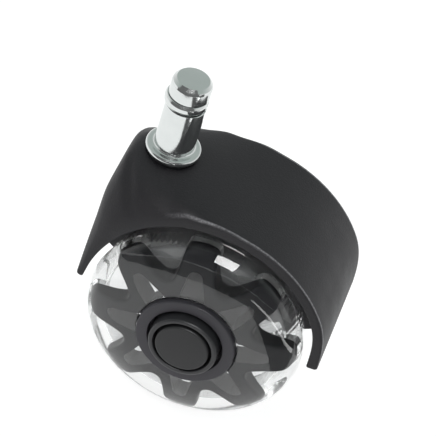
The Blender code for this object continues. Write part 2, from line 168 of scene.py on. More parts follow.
# Stage
CAMERA_TARGET = (16.58, 0.0, -18.02)
CAMERA_SIDE = (5.4776, 41.8525)     # azimuth and elevation in degrees
CAMERA_DISTANCE = 570.36
CAMERA_ROLL = 18.33
CAMERA_LENS = 181.65
STEM_FLAG_Y = -27.0


# ---------------------------------------------------------------- curves and meshes

def smooth_step(value, low, high):
    share = min(max((value - low) / (high - low), 0.0), 1.0)
    return share * share * (3.0 - 2.0 * share)


def spread(low, high, count):
    return [low + (high - low) * i / (count - 1) for i in range(count)]


def rounded(points, closed=False, steps=5):
    """A polyline whose corners (x, y, radius) become arcs; a corner without a radius stays sharp."""
    result = []
    count = len(points)
    for i, point in enumerate(points):
        corner = Vector(point[:2])
        radius = point[2] if len(point) > 2 else 0.0
        if radius == 0.0 or (not closed and i in (0, count - 1)):
            result.append(tuple(corner))
            continue
        before = Vector(points[i - 1][:2]) - corner
        after = Vector(points[(i + 1) % count][:2]) - corner
        opening = before.angle(after)
        reach = min(radius / math.tan(0.5 * opening), 0.48 * before.length, 0.48 * after.length)
        start = corner + before.normalized() * reach
        end = corner + after.normalized() * reach
        for share in spread(0.0, 1.0, steps + 1):
            at = start * (1.0 - share) ** 2 + corner * 2.0 * share * (1.0 - share) + end * share ** 2
            result.append(tuple(at))
    return result


def through(points, steps, closed=False):
    """A smooth curve through a list of points."""
    result = []
    count = len(points)
    last = count if closed else count - 1
    for i in range(last):
        a, b, c, d = (Vector(points[j % count] if closed else points[min(max(j, 0), count - 1)])
                      for j in (i - 1, i, i + 1, i + 2))
        for k in range(steps):
            t = k / steps
            at = 0.5 * (2.0 * b + (c - a) * t + (2.0 * a - 5.0 * b + 4.0 * c - d) * t ** 2
                        + (3.0 * b - a - 3.0 * c + d) * t ** 3)
            result.append(tuple(at))
    if not closed:
        result.append(tuple(points[-1]))
    return result


def height_at(curve, radius):
    """Height of a curve of (radius, height) points at a radius."""
    ordered = sorted(curve)
    if radius <= ordered[0][0]:
        return ordered[0][1]
    for (r0, h0), (r1, h1) in zip(ordered, ordered[1:]):
        if radius <= r1:
            return h0 + (h1 - h0) * (radius - r0) / (r1 - r0)
    return ordered[-1][1]


def offset_inwards(outline, distance):
    """Offset a closed anticlockwise outline inwards, or outwards for a negative distance."""
    moved = []
    count = len(outline)
    for i, point in enumerate(outline):
        here = Vector(point)
        along = (Vector(outline[(i + 1) % count]) - Vector(outline[i - 1])).normalized()
        moved.append((here.x - along.y * distance, here.y + along.x * distance))
    return moved


def mesh_object(name, shape, sharp_above=35.0):
    """Turn a bmesh in millimetres into an object in metres with smooth faces and sharp creases."""
    bmesh.ops.scale(shape, vec=(MM, MM, MM), verts=shape.verts)
    bmesh.ops.recalc_face_normals(shape, faces=shape.faces)
    mesh = bpy.data.meshes.new(name)
    shape.to_mesh(mesh)
    shape.free()
    thing = bpy.data.objects.new(name, mesh)
    bpy.context.scene.collection.objects.link(thing)
    shade_smooth(thing, sharp_above)
    return thing


def shade_smooth(thing, sharp_above=35.0):
    thing.data.shade_smooth()
    thing.data.set_sharp_from_angle(angle=math.radians(sharp_above))


def skin(name, rings, capped=True, looped=False, sharp_above=35.0):
    """Join rings of equal point counts into a skin, closed at its two ends or round on itself."""
    shape = bmesh.new()
    made = [[shape.verts.new(point) for point in ring] for ring in rings]
    pairs = list(zip(made, made[1:]))
    if looped:
        pairs.append((made[-1], made[0]))
    count = len(made[0])
    for one, two in pairs:
        for i in range(count):
            j = (i + 1) % count
            shape.faces.new((one[i], one[j], two[j], two[i]))
    if capped and not looped:
        shape.faces.new(made[0])
        shape.faces.new(list(reversed(made[-1])))
    return mesh_object(name, shape, sharp_above)


def turned(name, profile, steps=128, ripple=None, sharp_above=35.0):
    """Turn a closed outline of (radius, height) points about Z; points on the axis are shared.

    A ripple is a function of radius, height and angle that returns the radius to use.
    """
    shape = bmesh.new()
    columns = []
    poles = {}
    for i, (radius, height) in enumerate(profile):
        if radius < 1e-6:
            poles[i] = shape.verts.new((0.0, 0.0, height))
    for step in range(steps):
        angle = 2.0 * math.pi * step / steps
        column = []
        for i, (radius, height) in enumerate(profile):
            if i in poles:
                column.append(poles[i])
                continue
            r = ripple(radius, height, angle) if ripple else radius
            column.append(shape.verts.new((r * math.cos(angle), r * math.sin(angle), height)))
        columns.append(column)
    count = len(profile)
    last = count - 1 if poles else count
    for step in range(steps):
        one = columns[step]
        two = columns[(step + 1) % steps]
        for i in range(last):
            j = (i + 1) % count
            corners = []
            for vertex in (one[i], two[i], two[j], one[j]):
                if vertex not in corners:
                    corners.append(vertex)
            if len(corners) > 2:
                shape.faces.new(corners)
    return mesh_object(name, shape, sharp_above)


def prism(name, outline, low, high):
    """A solid between two heights over a flat outline."""
    return skin(name, [[(x, y, height) for x, y in outline] for height in (low, high)])


def carve(thing, other, operation):
    """Apply a Boolean with another object, which is used up."""
    modifier = thing.modifiers.new("carve", "BOOLEAN")
    modifier.operation = operation
    modifier.solver = "EXACT"
    modifier.object = other
    graph = bpy.context.evaluated_depsgraph_get()
    mesh = bpy.data.meshes.new_from_object(thing.evaluated_get(graph))
    thing.modifiers.clear()
    mesh.name = thing.name
    thing.data = mesh
    bpy.data.objects.remove(other, do_unlink=True)
    shade_smooth(thing)


def dissolve_slivers(thing):
    """Merge the vertices that a Boolean leaves on top of each other."""
    shape = bmesh.new()
    shape.from_mesh(thing.data)
    bmesh.ops.remove_doubles(shape, verts=shape.verts, dist=0.000004)
    bmesh.ops.dissolve_degenerate(shape, edges=shape.edges, dist=0.000002)
    shape.to_mesh(thing.data)
    shape.free()
    shade_smooth(thing)


def on_axle(side):
    """Local +Z outwards along the axle: side -1 is the left wheel, 1 the right."""
    place = Vector((AXLE_X, 0.0, AXLE_Z)) * MM
    return Matrix.Translation(place) @ Matrix.Rotation(-side * math.pi / 2, 4, "X")


# ---------------------------------------------------------------- materials

class Shade:
    """A material under construction: its Principled shader, and nodes added one by one."""

    def __init__(self, name, **sockets):
        self.material = bpy.data.materials.new(name)
        self.material.use_nodes = True
        self.tree = self.material.node_tree
        self.shader = self.tree.nodes["Principled BSDF"]
        for socket, value in sockets.items():
            self.shader.inputs[socket.replace("_", " ")].default_value = value
        self.place = self.add("ShaderNodeTexCoord").outputs["Object"]

    def add(self, kind, settings=None, **sockets):
        node = self.tree.nodes.new(kind)
        for key, value in (settings or {}).items():
            setattr(node, key, value)
        for socket, value in sockets.items():
            self.feed(node.inputs[socket.replace("_", " ")], value)
        return node

    def feed(self, socket, value):
        if isinstance(value, bpy.types.NodeSocket):
            self.tree.links.new(value, socket)
        else:
            socket.default_value = value

    def noise(self, size, detail=2.0, roughness=0.5, place=None):
        """Noise with lumps of about the given size in millimetres, from 0 to 1."""
        node = self.add("ShaderNodeTexNoise", Vector=place or self.place, Scale=1.0 / (size * MM),
                        Detail=detail, Roughness=roughness)
        return node.outputs["Fac"]

    def cells(self, size, place=None):
        """Distance to the nearest of scattered points, for grains of the given size."""
        node = self.add("ShaderNodeTexVoronoi", Vector=place or self.place, Scale=1.0 / (size * MM))
        return node.outputs["Distance"]

    def span(self, value, low, high, start=0.0, end=1.0):
        """Map a value from start..end to low..high, clamped."""
        node = self.add("ShaderNodeMapRange", Value=value, From_Min=start, From_Max=end,
                        To_Min=low, To_Max=high)
        return node.outputs["Result"]

    def maths(self, operation, one, two=0.0):
        node = self.add("ShaderNodeMath", {"operation": operation})
        self.feed(node.inputs[0], one)
        self.feed(node.inputs[1], two)
        return node.outputs[0]

    def blend(self, factor, one, two):
        """A colour between two colours."""
        node = self.add("ShaderNodeMix", {"data_type": "RGBA"})
        self.feed(node.inputs["Factor"], factor)
        for socket, value in (("A", one), ("B", two)):
            colours = [item for item in node.inputs if item.name == socket and item.type == "RGBA"]
            self.feed(colours[0], (*value, 1.0) if isinstance(value, tuple) else value)
        return [item for item in node.outputs if item.type == "RGBA"][0]

    def axes(self):
        node = self.add("ShaderNodeSeparateXYZ", Vector=self.place)
        return node.outputs

    def radius(self):
        """Distance from the object's own Z axis, in metres."""
        x, y, _ = self.axes()
        return self.maths("SQRT", self.maths("ADD", self.maths("MULTIPLY", x, x),
                                             self.maths("MULTIPLY", y, y)))

    def colour(self, value):
        self.feed(self.shader.inputs["Base Color"], value)

    def rough(self, value):
        self.feed(self.shader.inputs["Roughness"], value)

    def bump(self, height, depth):
        """Bump of a depth in millimetres; calls add up."""
        node = self.add("ShaderNodeBump", Height=height, Distance=depth * MM)
        links = self.shader.inputs["Normal"].links
        if links:
            self.tree.links.new(links[0].from_socket, node.inputs["Normal"])
        self.tree.links.new(node.outputs["Normal"], self.shader.inputs["Normal"])


def hood_plastic():
    """Black plastic with a fine spark-eroded grain, and a painted highlight along the rim's crease."""
    shade = Shade("hood_plastic", Specular_IOR_Level=0.42)
    grain = shade.noise(0.42, 3.0, 0.65)
    pits = shade.cells(0.5)
    cloud = shade.noise(9.0, 2.0)
    dark = shade.blend(cloud, (0.0098, 0.0086, 0.0118), (0.0130, 0.0116, 0.0154))
    specks = shade.span(grain, 0.0, 0.55, 0.60, 0.78)
    speckled = shade.blend(specks, dark, (0.055, 0.053, 0.058))
    # painted highlight: a light speckled line along the rim's crease, stronger towards the rear
    x, y, _ = shade.axes()
    across = shade.maths("ABSOLUTE", y)
    rim = HOOD_HALF_WIDTH * MM
    edge = shade.maths("MULTIPLY", shade.span(across, 0.0, 1.0, rim - 1.0 * MM, rim - 0.65 * MM),
                       shade.span(across, 1.0, 0.0, rim - 0.45 * MM, rim - 0.2 * MM))
    edge = shade.maths("MULTIPLY", edge, shade.span(x, 0.0, 1.0, 5.0 * MM, 16.0 * MM))
    edge = shade.maths("MULTIPLY", edge, shade.span(grain, 0.35, 1.0, 0.40, 0.62))
    # the painted crease highlight's light colour is blended in here
    shade.colour(shade.blend(edge, speckled, (0.300, 0.290, 0.310)))
    shade.rough(shade.span(shade.maths("ADD", grain, cloud), 0.46, 0.62, 0.6, 1.4))
    shade.bump(pits, 0.035)
    shade.bump(grain, 0.060)
    return shade.material


def core_plastic():
    """Satin black moulding: near black teeth under the cover, a greyer hub ring outside it."""
    shade = Shade("core_plastic", Specular_IOR_Level=0.25)
    fine = shade.noise(0.6, 2.0)
    cloud = shade.noise(5.0, 2.0)
    edge = HUB_RING_RADIUS * MM
    ring = shade.span(shade.radius(), 1.0, 0.0, edge + 0.1 * MM, edge + 0.3 * MM)
    teeth = shade.blend(cloud, (0.017, 0.0170, 0.0195), (0.022, 0.0220, 0.0250))
    hub = shade.blend(cloud, (0.052, 0.050, 0.058), (0.064, 0.061, 0.070))
    shade.colour(shade.blend(ring, teeth, hub))
    shade.rough(shade.span(cloud, 0.36, 0.46, 0.3, 0.7))
    shade.bump(fine, 0.006)
    return shade.material


def hub_plastic(name, low, high, rough):
    """Satin black moulding of the small hub parts, with faint rings from turning the mould."""
    shade = Shade(name, Specular_IOR_Level=0.40)
    cloud = shade.noise(3.5, 3.0)
    turning = shade.maths("SINE", shade.maths("MULTIPLY", shade.radius(), 2.0 * math.pi / (0.35 * MM)))
    shade.colour(shade.blend(cloud, (low, low, low * 1.1), (high, high, high * 1.1)))
    shade.rough(shade.span(cloud, rough - 0.04, rough + 0.05, 0.3, 0.7))
    shade.bump(shade.noise(0.2, 2.0), 0.010)
    shade.bump(turning, 0.0015)
    return shade.material


def clear_tyre():
    """Water-clear polyurethane with a glossy skin, and a milky inner wall behind the teeth."""
    shade = Shade("clear_tyre", IOR=1.20, Coat_Weight=1.0, Coat_IOR=1.5, Coat_Roughness=0.015)
    height = shade.axes()[2]
    wall = TYRE_BORE * MM
    bore = shade.span(shade.radius(), 1.0, 0.0, wall + 1.5 * MM, wall + 3.0 * MM)
    back = shade.span(height, 1.0, 0.0, (CORE_BACK + 0.3) * MM, (CORE_BACK + 0.7) * MM)
    milk = shade.maths("MULTIPLY", bore, back)
    shade.feed(shade.shader.inputs["Transmission Weight"], shade.span(milk, 0.996, 0.76))
    flow = shade.noise(14.0, 1.0)
    haze = shade.noise(2.5, 3.0)
    shade.colour(shade.blend(haze, (0.955, 0.965, 0.965), (0.985, 0.990, 0.990)))
    shade.rough(shade.span(haze, 0.0, 0.035, 0.35, 0.85))
    shade.bump(flow, 0.05)
    return shade.material


def chrome(name, low_rough, high_rough, streak):
    """Bright plating with faint cloudiness and polishing marks that run round the pin."""
    shade = Shade(name, Metallic=1.0)
    cloud = shade.noise(4.0, 3.0)
    stretched = shade.add("ShaderNodeMapping", Vector=shade.place, Scale=(1.0, 1.0, streak))
    marks = shade.noise(3.0, 3.0, 0.6, stretched.outputs["Vector"])
    shade.colour(shade.blend(cloud, (0.66, 0.685, 0.680), (0.73, 0.750, 0.745)))
    shade.rough(shade.span(marks, low_rough, high_rough, 0.3, 0.7))
    shade.bump(marks, 0.0035)
    shade.bump(cloud, 0.010)
    return shade.material


def steel(name, tone, rough):
    """Plain ground steel with a lay of fine scratches."""
    shade = Shade(name, Metallic=1.0)
    stretched = shade.add("ShaderNodeMapping", Vector=shade.place, Scale=(1.0, 8.0, 1.0))
    lay = shade.noise(0.8, 4.0, 0.6, stretched.outputs["Vector"])
    stain = shade.noise(4.0, 2.0)
    shade.colour(shade.blend(stain, (tone * 0.85,) * 3, (tone, tone, tone * 1.02)))
    shade.rough(shade.span(lay, rough - 0.08, rough + 0.10, 0.3, 0.7))
    shade.bump(lay, 0.008)
    return shade.material


def nylon():
    """Black nylon: slightly waxy, with fine mottling."""
    shade = Shade("nylon", Specular_IOR_Level=0.35)
    mottle = shade.noise(1.6, 3.0)
    shade.colour(shade.blend(mottle, (0.020, 0.020, 0.022), (0.030, 0.030, 0.033)))
    shade.rough(shade.span(mottle, 0.38, 0.52, 0.3, 0.7))
    shade.bump(shade.noise(0.35, 2.0), 0.02)
    return shade.material


def floor_white():
    """Plain white sweep that glows a little, so that shadows on it stay faint."""
    shade = Shade("floor_white", Emission_Color=(1.0, 1.0, 1.0, 1.0), Emission_Strength=0.88,
                  Specular_IOR_Level=0.0)
    shade.colour(shade.blend(shade.noise(40.0, 2.0), (0.34, 0.34, 0.34), (0.37, 0.37, 0.37)))
    shade.rough(shade.span(shade.noise(5.0, 2.0), 0.85, 0.95))
    return shade.material


# ---------------------------------------------------------------- hood

def hood_middle_radius(angle):
    """Distance from the axle to the hood's outline in the middle plane, at an angle in degrees."""
    direction = math.radians(angle)
    round_part = HOOD_RADIUS - REAR_TUCK * (1.0 - smooth_step(angle, *REAR_CHANGE))
    flat_top = (HOOD_TOP - AXLE_Z) / max(math.sin(direction), 0.05)
    radius = round_part + (flat_top - round_part) * smooth_step(angle, *TOP_CHANGE)
    if angle > 100.0:
        nose_x = NOSE_REACH + NOSE_SWELL * smooth_step(angle, *NOSE_CHANGE)
        front = (AXLE_X + nose_x) / -math.cos(direction)
        radius = (radius ** -NOSE_SHARPNESS + front ** -NOSE_SHARPNESS) ** (-1 / NOSE_SHARPNESS)
    return radius


def hood_arch_radius(angle):
    """Inner radius of the wheel arch, which closes in a little towards both tips."""
    front = ARCH_CLOSING * smooth_step(angle, *ARCH_CHANGE)
    rear = ARCH_CLOSING * (1.0 - smooth_step(angle, *REAR_CHANGE))
    return HOOD_RADIUS - HOOD_WALL - front - rear


def hood_crease(angle):
    """Half width of the hood's upper face, which narrows to a rounded nose and flares out below."""
    x = AXLE_X + (HOOD_TOP - AXLE_Z) / math.tan(math.radians(max(angle, 91.0)))
    share = min(max((SEAT_TAPER_X - x) / SEAT_TAPER_LENGTH, 0.0), 1.0)
    seat_half = HOOD_HALF_WIDTH * math.sqrt(1.0 - share ** SEAT_TAPER_POWER)
    share = min(max((angle - FLARE[0]) / (FLARE[1] - FLARE[0]), 0.0), 1.0)
    front_half = HOOD_HALF_WIDTH * share ** FLARE_POWER
    half = (seat_half ** 4 + front_half ** 4 + NOSE_HALF_WIDTH ** 4) ** 0.25
    return min(half, HOOD_HALF_WIDTH)


def tip_inset(angle):
    """How far a section shrinks close to the hood's two ends, to round them."""
    end = min(angle - HOOD_REAR_END, HOOD_FRONT_END - angle)
    along = math.radians(end) * HOOD_RADIUS
    if along >= TIP_ROUNDING:
        return 0.0
    return TIP_ROUNDING - math.sqrt(TIP_ROUNDING ** 2 - (TIP_ROUNDING - along) ** 2)


def hood_section(angle, inset):
    """One closed section of the hood in a plane through the axle, as (radius, y) points."""
    arch = hood_arch_radius(angle)
    middle = hood_middle_radius(angle) - inset
    crown = HOOD_CROWN * smooth_step(angle, *CROWN_START) * (1.0 - smooth_step(angle, *CROWN_END))
    rim = HOOD_HALF_WIDTH - inset
    crease = min(max(hood_crease(angle) - 0.9 * inset, 1.2), rim)
    base = arch - 2.0 * inset
    if inset:
        middle = max(middle, base + crown + 0.5)
    else:
        shrink = tip_inset(angle)
        middle -= shrink
        rim -= shrink
        crease = min(crease, rim)
        base += shrink
    top = middle - crown
    edge = REAR_CREASE + (NOSE_CREASE - REAR_CREASE) * smooth_step(angle, *CREASE_CHANGE)
    edge = min(edge, 0.6 * (top - base), 0.4 * crease)
    lip = 0.0 if inset else min(RIM_ROUNDING, 0.2 * (top - base))

    def side(share):
        rise = base + lip + (top - base - lip) * share ** 0.9
        return Vector((rise, crease + (rim - crease) * (1.0 - share ** 2)))

    corner = Vector((top, crease))
    reach = 1.0
    while reach > 0.3 and (side(reach) - corner).length < edge:
        reach -= 0.004
    half = []
    for share in spread(0.0, 0.5 * math.pi, 5) if lip else ():
        half.append((base + lip - lip * math.cos(share), rim - lip + lip * math.sin(share)))
    half += [tuple(side(share)) for share in spread(0.03 if lip else 0.0, reach, 14)]
    start = side(reach)
    flat = crease - edge
    end = Vector((middle - crown * (flat / crease) ** 2, flat))
    for share in spread(0.0, 1.0, 9)[1:]:
        at = start * (1.0 - share) ** 2 + corner * 2.0 * share * (1.0 - share) + end * share ** 2
        half.append(tuple(at))
    for y in spread(flat, 0.0, 9)[1:]:
        half.append((middle - crown * (y / crease) ** 2, y))
    return half + [(radius, -y) for radius, y in reversed(half[:-1])]


def hood_loft(name, angles, inset):
    rings = []
    for angle in angles:
        direction = math.radians(angle)
        rings.append([(AXLE_X + radius * math.cos(direction), y, AXLE_Z + radius * math.sin(direction))
                      for radius, y in hood_section(angle, inset)])
    return skin(name, rings)


def make_web():
    """The upright wall between the wheels."""
    outline = []
    for angle in spread(*WEB, 90):
        direction = math.radians(angle)
        radius = max(hood_middle_radius(angle) - 0.5 * HOOD_WALL, hood_arch_radius(angle) + 0.9)
        outline.append((AXLE_X + radius * math.cos(direction), AXLE_Z + radius * math.sin(direction)))
    outline.append((AXLE_X - WEB_FOOT_HALF, WEB_LOWER_EDGE))
    outline.append((AXLE_X + WEB_FOOT_HALF, WEB_LOWER_EDGE))
    rings = [[(x, y, z) for x, z in outline] for y in (-WEB_HALF, WEB_HALF)]
    return skin("web", rings)


def make_hood():
    """The hood's shell with its hollow nose, middle wall, stem socket and axle boss."""
    end_arc = math.degrees(TIP_ROUNDING / HOOD_RADIUS)
    ends = [HOOD_REAR_END + end_arc * share for share in (0.0, 0.12, 0.35, 0.65)]
    angles = ends + spread(HOOD_REAR_END + 1.3, HOOD_FRONT_END - 1.3, 150)
    angles += [HOOD_FRONT_END + HOOD_REAR_END - angle for angle in reversed(ends)]
    hood = hood_loft("hood_shell", angles, 0.0)
    carve(hood, hood_loft("hollow", spread(*HOLLOW, 50), HOOD_WALL), "DIFFERENCE")
    carve(hood, make_web(), "UNION")
    seat = HOOD_TOP - 0.25
    seat_boss = SEAT_ROOM + 0.3
    socket = turned("socket", [(0.0, seat), (seat_boss, seat), (seat_boss, SEAT_BOSS_LOW),
                               (SOCKET_RADIUS, SOCKET_HIGH), (SOCKET_RADIUS, SOCKET_END),
                               (0.0, SOCKET_END)], 96)
    carve(hood, socket, "UNION")
    boss = turned("boss", rounded([(0.0, AXLE_BOSS_HALF), (AXLE_BOSS_RADIUS, AXLE_BOSS_HALF, 0.5),
                                   (AXLE_BOSS_RADIUS, -AXLE_BOSS_HALF, 0.5), (0.0, -AXLE_BOSS_HALF)]), 96)
    boss.matrix_world = on_axle(-1)
    carve(hood, boss, "UNION")
    washer_floor = box_mm("thrust_washer")[0].z - GAP
    bore_end = JOURNAL_END - 0.6
    bore = turned("bore", [(0.0, 1.0), (SEAT_ROOM, 1.0), (SEAT_ROOM, washer_floor),
                           (SOCKET_BORE, washer_floor), (SOCKET_BORE, bore_end), (0.0, bore_end)], 96)
    carve(hood, bore, "DIFFERENCE")
    far = AXLE_BOSS_HALF + 1.0
    axle_bore = turned("axle_bore", [(0.0, far), (AXLE_ROOM, far), (AXLE_ROOM, -far), (0.0, -far)], 64)
    axle_bore.matrix_world = on_axle(-1)
    carve(hood, axle_bore, "DIFFERENCE")
    dissolve_slivers(hood)
    return hood


# ---------------------------------------------------------------- stem

def make_stem():
    """The plated pin: tip, ring groove, shank, rolled collar and the journal inside the hood."""
    groove = RING_RADIUS - 1.4
    clip_groove = JOURNAL_RADIUS - 0.7
    profile = rounded([
        (0.0, STEM_LENGTH),
        (STEM_RADIUS - 1.05, STEM_LENGTH, 0.15),
        (STEM_RADIUS - 0.25, STEM_LENGTH - 0.8, 0.5),
        (STEM_RADIUS, STEM_LENGTH - 1.5, 0.4),
        (STEM_RADIUS, RING_HIGH.z + GAP, 0.12),
        (groove, RING_HIGH.z + GAP),
        (groove, RING_LOW.z - GAP),
        (STEM_RADIUS, RING_LOW.z - GAP, 0.12),
        (STEM_RADIUS, 0.0, 0.7),
        (COLLAR_RADIUS, 0.0, 0.95),
        (COLLAR_RADIUS, COLLAR_BASE, 0.9),
        (JOURNAL_RADIUS, COLLAR_BASE),
        (JOURNAL_RADIUS, CLIP_HIGH.z + GAP),
        (clip_groove, CLIP_HIGH.z + GAP),
        (clip_groove, CLIP_LOW.z - GAP),
        (JOURNAL_RADIUS, CLIP_LOW.z - GAP),
        (JOURNAL_RADIUS, JOURNAL_END + JOURNAL_CHAMFER),
        (JOURNAL_RADIUS - JOURNAL_CHAMFER, JOURNAL_END),
        (0.0, JOURNAL_END)], steps=6)
    return turned("stem", profile, 160, sharp_above=30.0)


def make_grip_ring():
    """The split ring that holds the stem in its socket, open on its +X side."""
    inner = RING_RADIUS - 1.1
    profile = rounded([
        (inner, RING_HIGH.z),
        (RING_RADIUS - 0.45, RING_HIGH.z, 0.3),
        (RING_RADIUS - 0.02, RING_HIGH.z - 0.75, 0.8),
        (RING_RADIUS - 0.02, RING_LOW.z + 0.75, 0.8),
        (RING_RADIUS - 0.45, RING_LOW.z, 0.3),
        (inner, RING_LOW.z)], steps=6)
    start = math.asin(RING_SLOT_HALF / RING_RADIUS)
    rings = []
    for angle in spread(start, 2.0 * math.pi - start, 140):
        rings.append([(r * math.cos(angle) - RING_SLACK, r * math.sin(angle), z) for r, z in profile])
    return skin("split_grip_ring", rings)


# ---------------------------------------------------------------- wheels

def star_outline(grow=0.0):
    """Outline of the eight rounded, slightly tapered teeth, anticlockwise."""
    half_tooth = [(17.7, 6.0), (19.0, 5.4), (21.4, 4.85), (24.4, 4.5), (26.0, 4.1), (26.9, 3.1), (27.3, 1.5)]
    half_pitch = math.pi / TEETH
    valley = (VALLEY_RADIUS * math.cos(half_pitch), -VALLEY_RADIUS * math.sin(half_pitch))
    tooth = [valley] + [(u, -w) for u, w in half_tooth] + [(TOOTH_RADIUS, 0.0)] + half_tooth[::-1]
    points = []
    for i in range(TEETH):
        turn = Matrix.Rotation(TOOTH_PHASE + i * 2.0 * math.pi / TEETH, 2)
        points += [tuple(turn @ Vector(point)) for point in tooth]
    outline = through(points, 4, closed=True)
    return offset_inwards(outline, -grow) if grow else outline


def star_body(name, back, grow=0.0):
    """The toothed disc with a domed front and rounded upper edges."""
    dome = through(CORE_DOME, 6)
    dome = [(radius + 0.7 * grow * smooth_step(radius, 22.0, 28.0), height + grow) for radius, height in dome]
    outline = star_outline(grow)
    rings = [[(x, y, back) for x, y in outline]]
    for share in spread(0.0, 0.5 * math.pi, 6):
        inner = offset_inwards(outline, TOOTH_ROUNDING * (1.0 - math.cos(share)))
        drop = TOOTH_ROUNDING * (1.0 - math.sin(share))
        rings.append([(x, y, height_at(dome, math.hypot(x, y)) - drop) for x, y in inner])
    edge = offset_inwards(outline, TOOTH_ROUNDING)
    for share in (0.12, 0.3, 0.5, 0.7, 0.88, 1.0):
        ring = []
        for x, y in edge:
            radius = math.hypot(x, y)
            moved = radius + (BARREL_RADIUS - radius) * share
            ring.append((x * moved / radius, y * moved / radius, height_at(dome, moved)))
        rings.append(ring)
    return skin(name, rings)


def make_windows():
    """The eight wedge-shaped openings round the hub, one under each tooth."""
    wedge = rounded([(12.6, -3.5), (16.7, -2.75, 6.0), (20.9, -1.85, 1.0), (22.0, -0.9, 0.8),
                     (22.0, 0.9, 0.8), (20.9, 1.85, 1.0), (16.7, 2.75, 6.0), (12.6, 3.5)], closed=True)
    shapes = []
    for i in range(TEETH):
        turn = Matrix.Rotation(TOOTH_PHASE + i * 2.0 * math.pi / TEETH, 2)
        outline = [tuple(turn @ Vector(point)) for point in wedge]
        shapes.append(prism("window", outline, CORE_BACK - 1.0, HUB_RING_FRONT + 1.0))
    return shapes


def make_core():
    """The toothed disc with its windows, on a barrel that ends in the raised hub ring."""
    core = star_body("toothed_core", CORE_BACK)
    hole_radius = BARREL_BORE + 1.2
    above, below = 30.0, 5.0        # past both faces of the disc
    hole = turned("hole", [(0.0, above), (hole_radius, above), (hole_radius, below), (0.0, below)], 96)
    carve(core, hole, "DIFFERENCE")
    for window in make_windows():
        carve(core, window, "DIFFERENCE")
    barrel = turned("barrel", rounded([
        (BARREL_BORE + 0.6, HUB_RING_FRONT, 0.3),
        (HUB_RING_RADIUS, HUB_RING_FRONT, 0.45),
        (HUB_RING_RADIUS, 20.6, 0.3),
        (BARREL_RADIUS, 19.2, 0.3),
        (BARREL_RADIUS, WHEEL_INNER_FACE + 0.8, 0.3),
        (BARREL_BORE, WHEEL_INNER_FACE + 0.8, 0.2),
        (BARREL_BORE, 20.8),
        (BARREL_BORE + 0.6, 21.2)], closed=True), 160)
    carve(core, barrel, "UNION")
    dissolve_slivers(core)
    return core


def make_tyre():
    """The clear tyre and the domed cover over the teeth, in one piece."""
    inner = WHEEL_INNER_FACE
    back = CORE_BACK + 0.2
    front = through(COVER_FRONT, 4)
    tread = through([
        (WHEEL_RADIUS, TREAD_EDGE),
        (WHEEL_RADIUS - 0.4, TREAD_EDGE - 2.5),
        (WHEEL_RADIUS - 1.0, TREAD_EDGE - 5.0),
        (WHEEL_RADIUS - 1.8, TREAD_EDGE - 7.0)], 3)
    edges = rounded([
        tread[-1],
        (WHEEL_RADIUS - 2.6, inner, 0.8),
        (TYRE_BORE + 0.1, inner, 0.5),
        (TYRE_BORE, back - 0.1, 0.8),
        (COVER_FRONT[0][0], back),
        (COVER_FRONT[0][0], COVER_FRONT[0][1], 0.25),
        front[1]])[1:-1]
    wall = [(TYRE_BORE, height) for height in spread(inner + 0.9, back - 1.1, 5)]
    bore = [point for point in edges if point[1] < inner + 0.7]
    rest = [point for point in edges if point[1] >= inner + 0.7]

    def ripple(radius, height, angle):
        if abs(radius - TYRE_BORE) > 0.05 or height > back - 1.0:
            return radius
        return radius - RIB_DEPTH * (0.5 + 0.5 * math.cos(RIBS * angle)) ** 2

    line = [(WHEEL_RADIUS - 0.02, TREAD_EDGE + 0.32), (WHEEL_RADIUS - 0.12, TREAD_EDGE + 0.22),
            (WHEEL_RADIUS - 0.12, TREAD_EDGE + 0.12)]
    profile = front[1:] + line + tread + bore + wall + rest
    tyre = turned("clear_tyre", profile, RIBS * 5, ripple)
    carve(tyre, star_body("room", CORE_BACK - 2.0, -COVER_PRESS), "DIFFERENCE")
    dissolve_slivers(tyre)
    return tyre


def make_insert():
    """The bearing carrier, whose raised front holds the cap."""
    recess = CAP_RADIUS + 0.45
    return turned("hub_carrier", rounded([
        (recess, INSERT_FRONT, 0.4),
        (INSERT_RADIUS, INSERT_FRONT, 0.75),
        (INSERT_RADIUS, WHEEL_INNER_FACE + 1.0, 0.2),
        (5.0, WHEEL_INNER_FACE + 1.0, 0.2),
        (5.0, CLIP_SEAT),
        (recess, CLIP_SEAT)], closed=True), 160)


def make_cap():
    """The round button in the middle, with a skirt that snaps over the carrier."""
    skirt = CLIP_SEAT + 2.6
    return turned("hub_cap", rounded([
        (0.0, CAP_FRONT),
        (CAP_RADIUS - 0.25, CAP_FRONT - 0.05, 0.6),
        (CAP_RADIUS - 0.25, CAP_FRONT - 2.4, 0.2),
        (CAP_RADIUS, CAP_FRONT - 2.6, 0.1),
        (CAP_RADIUS, skirt, 0.15),
        (CAP_RADIUS - 1.2, skirt, 0.15),
        (CAP_RADIUS - 1.2, CAP_FRONT - 2.0),
        (0.0, CAP_FRONT - 2.0)]), 160)


# ---------------------------------------------------------------- stage

def look_at(thing, place, target, roll=0.0):
    """Put a light or camera at a place and aim it, turned by a roll about its own axis."""
    back = (place - target).normalized()
    right = Vector((0.0, 0.0, 1.0)).cross(back).normalized()
    up = back.cross(right)
    turn = Matrix((right, up, back)).transposed().to_4x4()
    thing.matrix_world = Matrix.Translation(place) @ turn @ Matrix.Rotation(roll, 4, "Z")


def direction(azimuth, elevation):
    """Unit vector towards a viewer; azimuth 0 is in front, at -Y, and 90 at +X."""
    a, e = math.radians(azimuth), math.radians(elevation)
    return Vector((math.sin(a) * math.cos(e), -math.cos(a) * math.cos(e), math.sin(e)))


